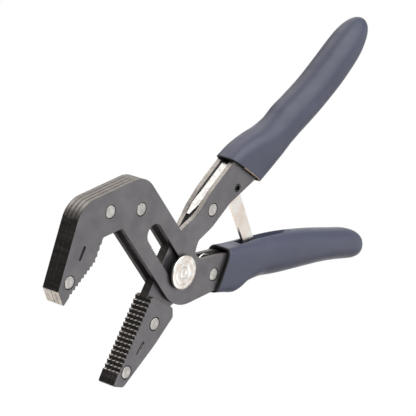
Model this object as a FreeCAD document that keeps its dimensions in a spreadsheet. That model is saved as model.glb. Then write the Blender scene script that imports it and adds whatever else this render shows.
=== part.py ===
import FreeCAD, Part
import math
import os
import Sketcher
from FreeCAD import Placement, Rotation, Vector

# Self-adjusting pliers built from riveted plates, lying flat.  Millimetres.
# +Z is the axis of the pivot pin, +X runs from the jaws towards the handles.
# Outlines are given from the pivot centre; the sheet says where that centre is.

doc = FreeCAD.newDocument("pliers")
sheet = doc.addObject("Spreadsheet::Sheet", "Sheet")

driving = {
    "pivot_x": -31.2, "pivot_y": -30.9, "pivot_z": 8.5,
    "plate_thickness": 2.35, "running_gap": 0.1, "stack_half": 4.8, "channel_half": 2.45,
    "rivet_radius": 2.2, "rivet_head_radius": 2.95, "rivet_seat_radius": 3.3,
    "rivet_seat_depth": 0.7, "rivet_proud": 0.2, "spacer_radius": 3.3,
    "pin_radius": 3.0, "pin_clearance": 0.05, "pin_head_radius": 8.35, "pin_rear_radius": 6.5,
    "pin_head_thickness": 1.1, "washer_thickness": 1.2, "washer_radius": 8.2,
    "washer_rear_radius": 6.4, "slot_width": 9.8, "slot_offset": 1.6, "slot_angle": 133.0,
    "slot_top": 34.2, "slot_bottom": 6.9, "mark_depth": 0.5, "mark_radius": 0.8,
    "link_pin_radius": 2.0, "link_pin_bore": 1.1, "link_thickness": 1.6,
    "link_top_radius": 4.0, "link_foot_radius": 3.1, "foot_pin_radius": 1.5,
    "foot_slot_half": 2.8, "leaf_width": 4.3, "leaf_thickness": 1.0,
    "anchor_radius": 1.1, "anchor_seat": 1.2, "spring_radius": 2.0, "spring_bore": 1.3,
    "lever_angle": 41.0, "bend_angle": 50.0, "bend_start": 15.5, "bend_end": 27.0,
    "bend_radius": 20.0,
}
for row, (alias, value) in enumerate(driving.items(), start=1):
    sheet.set(f"A{row}", alias)
    sheet.set(f"B{row}", str(value))
    sheet.setAlias(f"B{row}", alias)
doc.recompute()


def cell(alias):
    return float(sheet.get(alias))


def spun(angle, x, y):
    """The point (x, y) turned by angle degrees about the pivot centre."""
    a = math.radians(angle)
    return (x * math.cos(a) - y * math.sin(a), x * math.sin(a) + y * math.cos(a))


def lever_point(along, across):
    """A point measured along the upper handle and square to it."""
    return spun(cell("lever_angle"), along, across)


# Places, from the pivot centre, with both jaws open
hook_rivets = [(-52.4, 34.3), (-32.0, 33.2), (-74.6, 4.8)]
jaw_rivets = [(-14.8, -23.0), (-30.9, -43.7)]
lower_handle_rivets = [(23.9, -4.5), (104.0, -2.3)]
upper_grip_rivet = (134.0, 1.0)
upper_handle_rivets = [lever_point(31.6, 8.9), lever_point(*upper_grip_rivet)]
link_pin_place = (34.6, 36.2)
link_foot_place = (58.0, -1.5)
anchor_place = (18.3, 1.3)
foot_slot_ends = [(57.0, -1.0), (82.0, -1.0)]
return_spring_ends = [(21.6, 1.1), (49.0, -0.9)]
hook_mark = [(-67.1, 19.7), (-69.3, 14.7)]
jaw_mark = [(-21.5, -31.3), (-24.6, -35.5)]
front, rear = 1, -1
almost_round = 0.998    # corner radius of a slot's end, as a share of its half width


# ---------------------------------------------------------------- outlines

def toothed(start, end, count, depth, lean=0.62):
    """Corners of a row of V grooves to the left of the run from start to end, right if depth < 0."""
    (x0, y0), (x1, y1) = start, end
    run = math.hypot(x1 - x0, y1 - y0)
    nx, ny = -(y1 - y0) / run * depth, (x1 - x0) / run * depth
    corners = [(x0, y0, 0)]
    for tooth in range(count):
        middle, tip = (tooth + lean) / count, (tooth + 1) / count
        corners.append((x0 + (x1 - x0) * middle + nx, y0 + (y1 - y0) * middle + ny, 0))
        corners.append((x0 + (x1 - x0) * tip, y0 + (y1 - y0) * tip, 0))
    return corners


def draw(sketch, corners):
    """Close a chain of straight sides, each corner (x, y, radius) rounded by a tangent arc."""
    joints = []
    for i, (x, y, radius) in enumerate(corners):
        corner = Vector(x, y, 0)
        before = Vector(*corners[i - 1][:2], 0) - corner
        after = Vector(*corners[(i + 1) % len(corners)][:2], 0) - corner
        if radius == 0:
            joints.append((corner, corner, None))
            continue
        before.normalize()
        after.normalize()
        half = before.getAngle(after) / 2
        reach = radius / math.tan(half)
        bisector = (before + after).normalize()
        middle = corner + bisector * (radius / math.sin(half) - radius)
        joints.append((corner + before * reach, corner + after * reach, middle))
    for i, (arrive, leave, middle) in enumerate(joints):
        if middle is not None:
            sketch.addGeometry(Part.Arc(arrive, middle, leave), False)
        following = joints[(i + 1) % len(joints)][0]
        if leave.distanceToPoint(following) > 1e-6:
            sketch.addGeometry(Part.LineSegment(leave, following), False)


hook_teeth = (toothed((-74.0, -2.2), (-59.3, 12.0), 9, 0.95)
              + toothed((-59.3, 12.0), (-56.2, 20.2), 3, 0.8)[1:])
hook_tip = [(-81.2, 1.3, 1.0), (-77.1, -5.7, 0.6)]
throat = [(-55.8, 22.9, 1.5), (-43.4, 25.7, 1.0)]
hook_crown = [(-30.8, 48.8, 12.5), (-71.15, 39.2, 13.0)]
handle_tongue = [(44.0, -8.7, 12.0), (118.0, -6.5, 3.0), (118.0, 2.0, 3.0), (31.0, 4.8, 20.0)]

outer_plate_outline = (hook_tip + hook_teeth + throat + [(-1.7, -18.05, 18.0)] + handle_tongue
                       + [(12.2, 4.1, 9.0)] + hook_crown)
filler_outline = (hook_tip + hook_teeth + throat
                  + [(-34.0, 27.0, 3.0), (-19.5, 37.0, 1.0)] + hook_crown)

jaw_teeth = toothed((-19.4, -10.7), (-36.4, -43.3), 16, 0.95)
jaw_tip = [(-38.9, -49.1, 1.0), (-32.0, -50.7, 2.5), (-13.1, -33.3, 20.0), (-2.3, -21.5, 1.5)]
cheek_outline = jaw_teeth + jaw_tip + [(-3.1, -16.9, 1.2), (-17.2, -9.9, 1.2)]
upper_tongue = [(61.3, -1.3, 8.0), (76.0, -3.5, 8.0), (150.0, -3.5, 3.0), (150.0, 6.0, 3.0),
                (87.0, 9.2, 12.0), (67.0, 15.6, 12.0), (54.5, 17.8, 12.0), (36.0, 17.2, 20.0),
                (21.0, 14.6, 20.0), (10.6, 14.6, 8.0)]
lever_outline = (jaw_teeth + jaw_tip
                 + [(-2.3, -17.0, 1.5), (9.0, -11.0, 7.0), (12.6, 13.0, 2.5), (30.0, 29.2, 12.0)]
                 + [(*lever_point(x, y), r) for x, y, r in upper_tongue]
                 + [(-7.6, 11.6, 2.0)])

slot_teeth = toothed((26.0, cell("slot_offset") + cell("slot_width") / 2),
                     (2.0, cell("slot_offset") + cell("slot_width") / 2), 16, -0.55)


# ---------------------------------------------------------------- builders

def at_pivot(thing, turn=0.0):
    """Stand a sub-part at the pivot centre, turned about the pin's axis."""
    thing.Placement = Placement(Vector(), Rotation(Vector(0, 0, 1), turn))
    for axis in "xyz":
        thing.setExpression(f".Placement.Base.{axis}", f"Sheet.pivot_{axis}")
    return thing


def new_body(name, turn=0.0):
    body = doc.addObject("PartDesign::Body", name)
    body.Label = name
    return at_pivot(body, turn)


def new_sketch(body, name, plane="XY_Plane", height=None, frame=None):
    """A sketch on one of the body's planes; height is an expression for its offset."""
    origin = [p for p in body.Origin.OriginFeatures if p.Role == plane][0]
    sketch = body.newObject("Sketcher::SketchObject", f"{body.Name}_{name}")
    sketch.AttachmentSupport = [(origin, "")]
    sketch.MapMode = "FlatFace"
    if frame is not None:
        sketch.AttachmentOffset = Placement(Vector(), frame)
    if height is not None:
        sketch.setExpression(".AttachmentOffset.Base.z", height)
    return sketch


def circle(sketch, place, radius_cell):
    """A circle whose radius follows a cell of the sheet."""
    index = sketch.addGeometry(Part.Circle(Vector(*place, 0), Vector(0, 0, 1),
                                           cell(radius_cell)), False)
    constraint = sketch.addConstraint(Sketcher.Constraint("Radius", index, cell(radius_cell)))
    sketch.setExpression(f"Constraints[{constraint}]", f"Sheet.{radius_cell}")


def pad(body, sketch, length, side=front, midplane=False):
    feature = body.newObject("PartDesign::Pad", f"{sketch.Name}_pad")
    feature.Profile = sketch
    feature.setExpression("Length", length)
    feature.Reversed = side == rear
    feature.Midplane = midplane
    sketch.Visibility = False
    return feature


def pocket(body, sketch, depth=None, side=front):
    """Cut right through both ways, or to a depth inwards from an outer face."""
    feature = body.newObject("PartDesign::Pocket", f"{sketch.Name}_pocket")
    feature.Profile = sketch
    if depth is None:
        feature.Type = 1
        feature.Midplane = True
    else:
        feature.setExpression("Length", depth)
        feature.Reversed = side == rear
    sketch.Visibility = False
    return feature


def signed(side, expression):
    return expression if side == front else f"-({expression})"


def drill(body, name, places, radius_cell):
    holes = new_sketch(body, name)
    for place in places:
        circle(holes, place, radius_cell)
    pocket(body, holes)


def seat_rivets(body, places, side):
    """Round seats for the rivet heads in a plate's outer face, and their holes."""
    seats = new_sketch(body, "seats", height=signed(side, "Sheet.stack_half"))
    for place in places:
        circle(seats, place, "rivet_seat_radius")
    pocket(body, seats, "Sheet.rivet_seat_depth", side)
    drill(body, "rivet_holes", places, "rivet_radius")


def stamp_mark(body, start, end, side):
    """A plain round-ended recess in the outer face."""
    mark = new_sketch(body, "mark", height=signed(side, "Sheet.stack_half"))
    run = Vector(*end, 0) - Vector(*start, 0)
    square = Vector(-run.y, run.x, 0).normalize() * cell("mark_radius")
    ahead = Vector(run).normalize() * cell("mark_radius")
    a, b = Vector(*start, 0), Vector(*end, 0)
    mark.addGeometry(Part.LineSegment(a - square, b - square), False)
    mark.addGeometry(Part.Arc(b - square, b + ahead, b + square), False)
    mark.addGeometry(Part.LineSegment(b + square, a + square), False)
    mark.addGeometry(Part.Arc(a + square, a - ahead, a - square), False)
    pocket(body, mark, "Sheet.mark_depth", side)


def round_slot(body, name, start, end, half):
    """A round-ended slot along X, right through."""
    slot = new_sketch(body, name)
    left, right = start[0] - half, end[0] + half
    low, high = start[1] - half, start[1] + half
    corner = half * almost_round
    draw(slot, [(left, low, corner), (right, low, corner), (right, high, corner),
                (left, high, corner)])
    pocket(body, slot)


def cylinder(name, place, radius, low, high):
    """A Part::Cylinder along Z; radius, low and high are expressions."""
    rod = doc.addObject("Part::Cylinder", name)
    rod.setExpression("Radius", radius)
    rod.setExpression("Height", f"({high}) - ({low})")
    rod.setExpression(".Placement.Base.x", f"Sheet.pivot_x + {place[0]:.4f}")
    rod.setExpression(".Placement.Base.y", f"Sheet.pivot_y + {place[1]:.4f}")
    rod.setExpression(".Placement.Base.z", f"Sheet.pivot_z + {low}")
    return rod


def fused(name, pieces):
    joined = doc.addObject("Part::MultiFuse", name)
    joined.Shapes = pieces
    return joined


def bored(name, outside, inside):
    ring = doc.addObject("Part::Cut", name)
    ring.Base, ring.Tool = outside, inside
    return ring


def group(name, pieces):
    """Separate identical solids in one sub-part."""
    if len(pieces) == 1:
        pieces[0].Label = name
        return pieces[0]
    together = doc.addObject("Part::Compound", name)
    together.Links = pieces
    together.Label = name
    return together


# ---------------------------------------------------------------- lower lever

def outer_plate(name, side):
    """Slotted plate that carries the hooked jaw and the lower handle."""
    body = new_body(name)
    outline = new_sketch(body, "outline", height=signed(side, "Sheet.channel_half"))
    draw(outline, outer_plate_outline)
    pad(body, outline, "Sheet.plate_thickness", side)
    slot = new_sketch(body, "slot")
    half, offset = cell("slot_width") / 2, cell("slot_offset")
    low, high = -cell("slot_bottom"), cell("slot_top")
    corner = half * almost_round
    ends = [(low, offset + half, corner), (low, offset - half, corner),
            (high, offset - half, corner), (high, offset + half, corner)]
    draw(slot, [(*spun(cell("slot_angle"), x, y), r) for x, y, r in ends + slot_teeth])
    pocket(body, slot)
    seat_rivets(body, hook_rivets + lower_handle_rivets, side)
    anchor_seat = new_sketch(body, "anchor_seat", height=signed(side, "Sheet.channel_half"))
    circle(anchor_seat, anchor_place, "anchor_radius")
    pocket(body, anchor_seat, "Sheet.anchor_seat", -side)
    round_slot(body, "foot_slot", *foot_slot_ends, cell("foot_slot_half"))
    if side == front:
        stamp_mark(body, *hook_mark, side)
    return body


def hook_filler(name, side):
    """Inner plate of the hooked jaw."""
    body = new_body(name)
    outline = new_sketch(body, "outline")
    draw(outline, filler_outline)
    pad(body, outline, "Sheet.channel_half", side)
    drill(body, "rivet_holes", hook_rivets, "rivet_radius")
    return body


def rivets(name, places):
    """Headed rivets through the whole stack, one solid each."""
    seat = "(Sheet.stack_half - Sheet.rivet_seat_depth)"
    crown = "(Sheet.stack_half + Sheet.rivet_proud)"
    made = []
    for i, place in enumerate(places):
        tag = f"{name}_{i}"
        made.append(fused(f"{tag}_solid", [
            cylinder(f"{tag}_shank", place, "Sheet.rivet_radius", f"-{seat}", seat),
            cylinder(f"{tag}_head", place, "Sheet.rivet_head_radius", seat, crown),
            cylinder(f"{tag}_tail", place, "Sheet.rivet_head_radius", f"-{crown}", f"-{seat}")]))
    return group(name, made)


def spacers(name, places):
    """Sleeves that hold a handle's two plates apart."""
    made = []
    for i, place in enumerate(places):
        tag = f"{name}_{i}"
        span = ("-Sheet.channel_half", "Sheet.channel_half")
        made.append(bored(f"{tag}_solid",
                          cylinder(f"{tag}_outside", place, "Sheet.spacer_radius", *span),
                          cylinder(f"{tag}_inside", place, "Sheet.rivet_radius", *span)))
    return group(name, made)


def return_spring():
    """Sleeve of the coiled return spring's outer and inner size, in the lower channel."""
    start, end = (Vector(*place, 0) for place in return_spring_ends)
    run = end - start
    turn = Rotation(Vector(0, 0, 1), run)
    parts = []
    for name, alias in (("spring_outside", "spring_radius"), ("spring_inside", "spring_bore")):
        tube = doc.addObject("Part::Cylinder", name)
        tube.setExpression("Radius", f"Sheet.{alias}")
        tube.Height = run.Length
        tube.Placement = Placement(start, turn)
        for axis, offset in (("x", start.x), ("y", start.y), ("z", 0.0)):
            tube.setExpression(f".Placement.Base.{axis}", f"Sheet.pivot_{axis} + {offset}")
        parts.append(tube)
    return group("return_spring", [bored("return_spring_solid", *parts)])


def grip(name, turn, sections, tongue, mouth, rivet_place, link_slot=None):
    """Moulded sleeve: a loft of round-cornered sections with a pocket for the plates and a rivet."""
    body = new_body(name, turn)
    rings = []
    for i, (along, middle, half_height, half_depth) in enumerate(sections):
        ring = new_sketch(body, f"section_{i}", "YZ_Plane", height=str(along))
        corner = 0.82 * half_depth
        draw(ring, [(middle - half_height, -half_depth, corner),
                    (middle + half_height, -half_depth, corner),
                    (middle + half_height, half_depth, corner),
                    (middle - half_height, half_depth, corner)])
        ring.Visibility = False
        rings.append(ring)
    loft = body.newObject("PartDesign::AdditiveLoft", f"{name}_loft")
    loft.Profile = rings[0]
    loft.Sections = rings[1:]
    doc.recompute()
    slope = new_sketch(body, "mouth")
    draw(slope, [(*p, 0) for p in mouth])
    pocket(body, slope)
    cavity = new_sketch(body, "cavity", height="-Sheet.stack_half")
    draw(cavity, tongue)
    space = body.newObject("PartDesign::Pocket", f"{name}_space")
    space.Profile = cavity
    space.setExpression("Length", "2 * Sheet.stack_half")
    space.Reversed = True
    relief = new_sketch(body, "rivet_relief", height="-(Sheet.stack_half + Sheet.rivet_proud)")
    circle(relief, rivet_place, "rivet_head_radius")
    room = body.newObject("PartDesign::Pocket", f"{name}_rivet_room")
    room.Profile = relief
    room.setExpression("Length", "2 * (Sheet.stack_half + Sheet.rivet_proud)")
    room.Reversed = True
    if link_slot is not None:
        opening = new_sketch(body, "link_slot", height="-Sheet.channel_half")
        (x0, y0), (x1, y1) = link_slot
        draw(opening, [(x0, y0, 0), (x1, y0, 0), (x1, y1, 0), (x0, y1, 0)])
        cut = body.newObject("PartDesign::Pocket", f"{name}_link_opening")
        cut.Profile = opening
        cut.setExpression("Length", "2 * Sheet.channel_half")
        cut.Reversed = True
    return body


# ---------------------------------------------------------------- pivot

def pivot_pin():
    """Headed pin through all four plates, its rear end riveted over."""
    inner = "(Sheet.stack_half + Sheet.running_gap + Sheet.washer_thickness)"
    outer = "(Sheet.stack_half + Sheet.running_gap + Sheet.washer_thickness + Sheet.pin_head_thickness)"
    pin = fused("pivot_pin", [
        cylinder("pin_shank", (0, 0), "Sheet.pin_radius", f"-{inner}", inner),
        cylinder("pin_head", (0, 0), "Sheet.pin_head_radius", inner, outer),
        cylinder("pin_tail", (0, 0), "Sheet.pin_rear_radius", f"-{outer}", f"-{inner}")])
    pin.Label = "pivot_pin"
    return pin


def washer(name, side, radius_cell):
    near = "Sheet.stack_half + Sheet.running_gap"
    far = "Sheet.stack_half + Sheet.running_gap + Sheet.washer_thickness"
    low, high = (f"({near})", f"({far})") if side == front else (f"-({far})", f"-({near})")
    ring = bored(name, cylinder(f"{name}_outside", (0, 0), f"Sheet.{radius_cell}", low, high),
                 cylinder(f"{name}_inside", (0, 0), "Sheet.pin_radius", low, high))
    ring.Label = name
    return ring


def lock_key(name, side):
    """Toothed key beside the pin, facing the slot's toothed wall."""
    body = new_body(name)
    outline = new_sketch(body, "outline", height=signed(side, "Sheet.channel_half"))
    wall_gap, notch, half_length, chamfer, heel = 0.35, 0.55, 3.0, 0.8, 1.0
    wall = cell("slot_offset") + cell("slot_width") / 2 - wall_gap
    shoulder, crest = wall - chamfer, half_length / 4
    shape = [(-half_length, shoulder, 0), (-half_length, heel, 0), (half_length, heel, 0),
             (half_length, shoulder, 0), (half_length - chamfer, wall, 0), (crest, wall, 0),
             (0.0, wall - notch, 0), (-crest, wall, 0), (-half_length + chamfer, wall, 0)]
    draw(outline, [(*spun(cell("slot_angle"), x, y), r) for x, y, r in shape])
    pad(body, outline, "Sheet.plate_thickness", side)
    seat = new_sketch(body, "pin_seat")
    index = seat.addGeometry(Part.Circle(Vector(), Vector(0, 0, 1), cell("pin_radius")), False)
    seat.addConstraint(Sketcher.Constraint("Radius", index, cell("pin_radius")))
    seat.setExpression("Constraints[0]", "Sheet.pin_radius + Sheet.pin_clearance")
    pocket(body, seat)
    return body


# ---------------------------------------------------------------- upper lever

def lever_plate(name, side):
    """Inner plate of the lower jaw; it steps outwards to become the upper handle."""
    body = new_body(name)
    along = Vector(*spun(cell("bend_angle"), 1, 0), 0)
    across = Vector(along.y, -along.x, 0)
    edge_on = Rotation(along, Vector(0, 0, 1), across, "XZY")
    profile = new_sketch(body, "profile", frame=edge_on)
    thick, step = cell("plate_thickness"), cell("channel_half")
    start, end, radius = cell("bend_start"), cell("bend_end"), cell("bend_radius")
    near, far, lead = -80, 170, 0.25
    profile_corners = [(near, 0, 0), (start, 0, radius + thick), (end, step, radius),
                       (far, step, 0), (far, step + thick, 0),
                       (end - lead, step + thick, radius + thick),
                       (start - lead, thick, radius), (near, thick, 0)]
    draw(profile, [(x, side * y, r) for x, y, r in profile_corners])
    pad(body, profile, "200", midplane=True)
    outline = new_sketch(body, "outline")
    beyond = 260
    draw(outline, [(-beyond, -beyond, 0), (beyond, -beyond, 0), (beyond, beyond, 0),
                   (-beyond, beyond, 0)])
    draw(outline, lever_outline)
    pocket(body, outline)
    bore = new_sketch(body, "pin_bore")
    index = bore.addGeometry(Part.Circle(Vector(), Vector(0, 0, 1), cell("pin_radius")), False)
    bore.addConstraint(Sketcher.Constraint("Radius", index, cell("pin_radius")))
    bore.setExpression("Constraints[0]", "Sheet.pin_radius + Sheet.pin_clearance")
    pocket(body, bore)
    drill(body, "jaw_holes", jaw_rivets, "rivet_radius")
    drill(body, "link_pin_hole", [link_pin_place], "link_pin_radius")
    seat_rivets(body, upper_handle_rivets, side)
    return body


def jaw_cheek(name, side):
    """Outer plate of the lower jaw."""
    body = new_body(name)
    outline = new_sketch(body, "outline", height=signed(side, "Sheet.plate_thickness"))
    draw(outline, cheek_outline)
    pad(body, outline, "Sheet.stack_half - Sheet.plate_thickness", side)
    seat_rivets(body, jaw_rivets, side)
    if side == front:
        stamp_mark(body, *jaw_mark, side)
    return body


def link_pin():
    """Hollow spring pin that holds the link between the upper handle's plates."""
    span = ("-Sheet.stack_half", "Sheet.stack_half")
    return group("link_pin", [bored(
        "link_pin_solid", cylinder("link_pin_outside", link_pin_place,
                                   "Sheet.link_pin_radius", *span),
        cylinder("link_pin_inside", link_pin_place, "Sheet.link_pin_bore", *span))])


def shift_spring():
    """Flat leaf along the top of the upper channel."""
    body = new_body("shift_spring", cell("lever_angle"))
    strip = new_sketch(body, "strip")
    half = cell("leaf_thickness") / 2
    line = [(21.5, 15.2), (54.0, 16.4), (76.0, 10.2)]
    lower = [(x, y - half, 6.0) for x, y in line[1:-1]]
    upper = [(x, y + half, 7.0) for x, y in line[1:-1]]
    draw(strip, [(line[0][0], line[0][1] - half, 0)] + lower
         + [(line[-1][0], line[-1][1] - half, 0), (line[-1][0], line[-1][1] + half, 0)]
         + upper[::-1] + [(line[0][0], line[0][1] + half, 0)])
    pad(body, strip, "Sheet.leaf_width", midplane=True)
    edge_on = Rotation(Vector(1, 0, 0), Vector(0, 0, 1), Vector(0, -1, 0), "XZY")
    taper = new_sketch(body, "taper", frame=edge_on)
    tip, shoulder, tip_half, beyond = 20.0, 28.0, 0.5, 4.0
    for side in (1, -1):
        draw(taper, [(tip, side * tip_half, 0), (shoulder, side * cell("leaf_width") / 2, 0),
                     (shoulder, side * beyond, 0), (tip, side * beyond, 0)])
    pocket(body, taper)
    return body


# ---------------------------------------------------------------- link

def control_link():
    """Tapered strap from the upper handle down into the lower one."""
    body = new_body("control_link")
    outline = new_sketch(body, "outline")
    top, foot = Vector(*link_pin_place, 0), Vector(*link_foot_place, 0)
    big, small = cell("link_top_radius"), cell("link_foot_radius")
    ahead = (foot - top).normalize()
    square = Vector(-ahead.y, ahead.x, 0)
    lean = math.asin((big - small) / (foot - top).Length)
    left = square * math.cos(lean) + ahead * math.sin(lean)
    right = -square * math.cos(lean) + ahead * math.sin(lean)
    outline.addGeometry(Part.LineSegment(top + left * big, foot + left * small), False)
    outline.addGeometry(Part.Arc(foot + left * small, foot + ahead * small,
                                 foot + right * small), False)
    outline.addGeometry(Part.LineSegment(foot + right * small, top + right * big), False)
    outline.addGeometry(Part.Arc(top + right * big, top - ahead * big, top + left * big), False)
    pad(body, outline, "Sheet.link_thickness", midplane=True)
    eye = new_sketch(body, "eye")
    index = eye.addGeometry(Part.Circle(top, Vector(0, 0, 1), cell("link_pin_radius")), False)
    eye.addConstraint(Sketcher.Constraint("Radius", index, cell("link_pin_radius")))
    eye.setExpression("Constraints[0]", "Sheet.link_pin_radius + Sheet.pin_clearance")
    pocket(body, eye)
    drill(body, "foot_hole", [link_foot_place], "foot_pin_radius")
    return body


def plain_pin(name, place, radius_cell, reach):
    pin = cylinder(name, place, f"Sheet.{radius_cell}", f"-({reach})", reach)
    pin.Label = name
    return pin


lower_sections = [(23.0, -4.0, 11.6, 7.0), (36.0, -4.0, 12.0, 7.4), (47.0, -3.6, 12.2, 7.7),
                  (58.0, -1.6, 10.9, 8.1), (72.0, -1.0, 10.4, 8.4), (92.0, -1.1, 9.8, 8.5),
                  (110.0, -1.6, 8.8, 8.3), (126.0, -2.8, 7.9, 7.6), (136.5, -4.5, 6.5, 6.3),
                  (143.5, -5.9, 3.4, 3.2)]
lower_mouth = [(15, -22), (23.4, -22), (35.0, 12), (15, 12)]
lower_cavity = ([(10.0, -15.6, 0)] + handle_tongue[:3] + [(31.0, 4.8, 20.0), (10.0, 3.8, 0)])
upper_sections = [(50.0, 7.9, 13.4, 7.0), (64.0, 6.8, 12.3, 7.4), (77.0, 4.8, 10.2, 8.0),
                  (92.0, 2.4, 9.1, 8.4), (112.0, 0.8, 9.0, 8.5), (132.0, 0.4, 9.1, 8.4),
                  (148.0, 1.6, 8.2, 7.7), (157.0, 2.6, 6.6, 6.3), (163.5, 2.6, 3.4, 3.2)]
upper_mouth = [(40, -12), (64.8, -12), (52.0, 24), (40, 24)]
upper_cavity = ([(45.0, 2.2, 0)] + upper_tongue[:7] + [(45.0, 17.6, 0)])

parts = [
    outer_plate("front_plate", front), outer_plate("rear_plate", rear),
    hook_filler("hook_filler_front", front), hook_filler("hook_filler_rear", rear),
    rivets("hook_rivets", hook_rivets),
    rivets("lower_handle_rivets", lower_handle_rivets),
    spacers("lower_handle_spacers", lower_handle_rivets),
    plain_pin("spring_anchor", anchor_place, "anchor_radius",
              "Sheet.channel_half + Sheet.anchor_seat"),
    return_spring(),
    grip("lower_grip", 0.0, lower_sections, lower_cavity, lower_mouth, lower_handle_rivets[1],
         ((45.0, 0.0), (84.0, 16.0))),
    pivot_pin(),
    washer("pivot_washer_front", front, "washer_radius"),
    washer("pivot_washer_rear", rear, "washer_rear_radius"),
    lock_key("lock_key_front", front), lock_key("lock_key_rear", rear),
    lever_plate("lever_plate_front", front), lever_plate("lever_plate_rear", rear),
    jaw_cheek("jaw_cheek_front", front), jaw_cheek("jaw_cheek_rear", rear),
    rivets("jaw_rivets", jaw_rivets),
    rivets("upper_handle_rivets", upper_handle_rivets),
    spacers("upper_handle_spacers", upper_handle_rivets),
    link_pin(), shift_spring(),
    grip("upper_grip", cell("lever_angle"), upper_sections, upper_cavity, upper_mouth,
         upper_grip_rivet),
    control_link(),
    plain_pin("link_foot_pin", link_foot_place, "foot_pin_radius",
              "Sheet.stack_half - Sheet.running_gap"),
]
doc.recompute()

for thing in doc.Objects:
    if "Invalid" in thing.State or "Error" in thing.State:
        raise RuntimeError(f"{thing.Name} failed: {thing.State}")
os.makedirs("parts", exist_ok=True)
for part in parts:
    shape = part.Shape
    if shape.isNull() or not shape.isValid():
        raise RuntimeError(f"{part.Label} has no valid shape")
    shape.exportStep(f"parts/{part.Label}.step")
    box = shape.BoundBox
    print(f"{part.Label:24s} solids {len(shape.Solids)} volume {shape.Volume:9.1f} "
          f"x {box.XMin:7.2f} {box.XMax:7.2f} y {box.YMin:7.2f} {box.YMax:7.2f} "
          f"z {box.ZMin:6.2f} {box.ZMax:6.2f}")
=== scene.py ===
import bisect
import math

import bmesh
import bpy
from mathutils import Matrix, Quaternion, Vector


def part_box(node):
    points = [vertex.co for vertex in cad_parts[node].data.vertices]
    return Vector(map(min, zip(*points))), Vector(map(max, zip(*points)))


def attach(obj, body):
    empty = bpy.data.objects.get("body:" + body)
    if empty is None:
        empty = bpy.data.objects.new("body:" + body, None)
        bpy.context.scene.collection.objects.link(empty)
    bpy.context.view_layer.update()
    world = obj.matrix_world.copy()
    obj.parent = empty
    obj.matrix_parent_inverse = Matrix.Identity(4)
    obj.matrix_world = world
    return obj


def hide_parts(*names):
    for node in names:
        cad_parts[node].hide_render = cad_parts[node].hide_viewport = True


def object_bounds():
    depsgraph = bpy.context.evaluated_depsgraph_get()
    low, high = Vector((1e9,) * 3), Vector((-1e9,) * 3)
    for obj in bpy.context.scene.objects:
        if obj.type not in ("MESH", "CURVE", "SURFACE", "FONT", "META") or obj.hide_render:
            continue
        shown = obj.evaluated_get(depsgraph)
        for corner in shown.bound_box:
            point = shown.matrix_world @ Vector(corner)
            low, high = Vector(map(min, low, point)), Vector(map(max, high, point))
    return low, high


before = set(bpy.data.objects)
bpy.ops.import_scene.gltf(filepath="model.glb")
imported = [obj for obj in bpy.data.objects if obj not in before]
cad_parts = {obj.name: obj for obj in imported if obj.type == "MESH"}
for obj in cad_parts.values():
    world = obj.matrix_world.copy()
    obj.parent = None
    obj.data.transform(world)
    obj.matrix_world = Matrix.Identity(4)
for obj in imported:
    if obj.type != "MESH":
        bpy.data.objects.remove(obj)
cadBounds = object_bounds()
scene = bpy.context.scene
scene.view_settings.view_transform = "Standard"
mm = 0.001

# Lengths below are millimetres from the centre of the pivot pin, midway through the stack of plates
pinLow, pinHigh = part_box("pivot_pin")
pivot = (pinLow + pinHigh) / 2


def fromPivot(x, y, z=0.0):
    return pivot + Vector((x, y, z)) * mm


def newObject(name, mesh):
    thing = bpy.data.objects.new(name, mesh)
    scene.collection.objects.link(thing)
    return thing


view = {"aim": (20.2, 27.0), "distance": 1071.5, "azimuth": 163.14, "elevation": 38.17,
        "roll": 106.86, "lens": 199.04, "sensor": 36.0, "clip": (0.05, 10.0)}


def direction(azimuth, elevation):
    a, e = math.radians(azimuth), math.radians(elevation)
    return Vector((math.cos(a) * math.cos(e), math.sin(a) * math.cos(e), math.sin(e)))


def placeCamera():
    data = bpy.data.cameras.new("camera")
    data.lens, data.sensor_width = view["lens"], view["sensor"]
    data.clip_start, data.clip_end = view["clip"]
    camera = newObject("camera", data)
    back = direction(view["azimuth"], view["elevation"])
    camera.rotation_mode = "QUATERNION"
    roll = Quaternion((0, 0, 1), math.radians(view["roll"]))
    camera.rotation_quaternion = back.to_track_quat("Z", "Y") @ roll
    camera.location = fromPivot(*view["aim"]) + back * view["distance"] * mm
    scene.camera = camera


studio = {"ambient": 0.15, "floorColor": (1.0, 1.0, 1.0), "floorSize": 3.0, "floorGap": 0.0002,
          # azimuth and elevation, half-angles at full and at nothing, strength, colour
          "softboxes": [(-4, 29, 8, 32, 1.0, (1.0, 0.985, 0.97)),
                        (-44, 54, 8, 22, 2.2, (1.0, 0.99, 0.98)),
                        (-17, -38, 12, 34, 0.9, (1.0, 1.0, 1.0)),
                        (98, -38, 8, 26, 3.2, (1.0, 0.97, 0.94)),
                        (98, 4, 14, 36, 0.9, (1.0, 0.99, 0.98)),
                        (92, 46, 26, 52, 3.4, (1.0, 0.99, 0.98)),
                        (46, -36, 12, 30, 1.4, (1.0, 0.96, 0.92)),
                        (-38, -13, 8, 26, 0.8, (1.0, 0.98, 0.97)),
                        (-103, -38, 8, 26, 1.3, (1.0, 0.95, 0.9))]}


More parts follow.
